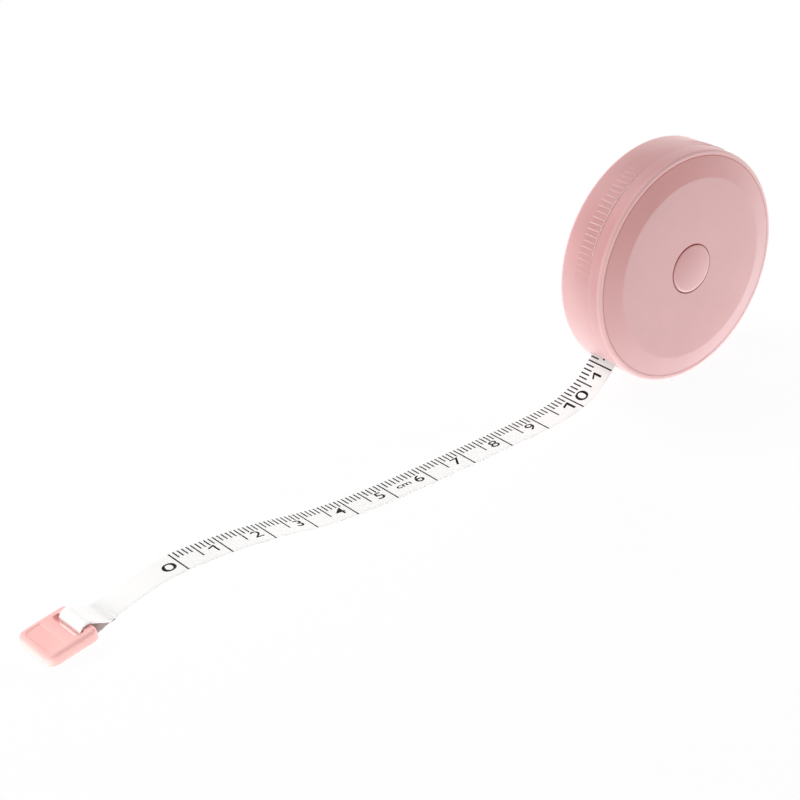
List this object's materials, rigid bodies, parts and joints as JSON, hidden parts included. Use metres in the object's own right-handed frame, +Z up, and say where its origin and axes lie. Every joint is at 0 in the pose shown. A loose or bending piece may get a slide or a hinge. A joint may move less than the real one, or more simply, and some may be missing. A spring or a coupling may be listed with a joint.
{
  "type": "retractable tape measure",
  "caption": "Round push-button tape measure standing on its rim, with a sprung reel inside and a flexible printed tape drawn out to a looped pull tab.",
  "frame": {"origin": "on the surface that the case stands on, straight under the reel's axis and in the middle of the case's width", "axes": "+Y along the reel's axis from the button's face to the back face, -X along the drawn-out tape, +Z up"},
  "size_m": [0.1849, 0.0148, 0.0506],
  "materials": {
    "case_plastic": "satin moulded pink",
    "plate_plastic": "satin moulded pink",
    "button_plastic": "smooth moulded pink",
    "tab_plastic": "smooth moulded salmon pink",
    "reel_plastic": "plain moulded white",
    "spring_steel": "bright spring steel",
    "brake_rubber": "matte black",
    "tape_fabric": "coated white with a printed scale"
  },
  "bodies": {
    "casing": {"front_shell": "case_plastic", "back_shell": "case_plastic", "front_plate": "plate_plastic", "back_plate": "plate_plastic", "button_spring": "spring_steel", "power_spring": "spring_steel"},
    "button": {"push_button": "button_plastic", "brake_disc": "reel_plastic", "brake_ring": "brake_rubber"},
    "reel": {"reel_drum": "reel_plastic", "reel_flange": "reel_plastic", "spring_cover": "reel_plastic", "tape_coil": "tape_fabric", "tape_anchor": "spring_steel"},
    "tape": {"tape_run": "tape_fabric"},
    "tab": {"end_tab": "tab_plastic"}
  },
  "joints": [
    {"name": "button_press", "type": "slide", "parent": "casing", "child": "button", "axis": [0, 1, 0], "range_m": [0, 0.0013], "stiffness_N_per_m": 800, "deforming": ["button_spring"]},
    {"name": "tape_pull", "type": "slide", "parent": "casing", "child": "tape", "axis": [-1, 0, 0], "range_m": [-0.105, 0], "deforming": ["tape_run"]},
    {"name": "reel_spin", "type": "hinge", "parent": "casing", "child": "reel", "pos_m": [0, 0, 0.0253], "axis": [0, -1, 0], "range_deg": [-315, 0], "deforming": ["power_spring"]},
    {"name": "tab_swing", "type": "hinge", "parent": "tape", "child": "tab", "pos_m": [-0.1495, 0, 0.0028], "axis": [0, 1, 0], "range_deg": [-90, 120]}
  ],
  "couplings": [
    {"joint": "reel_spin", "follows": "tape_pull", "rad_per_m": 51.282}
  ]
}
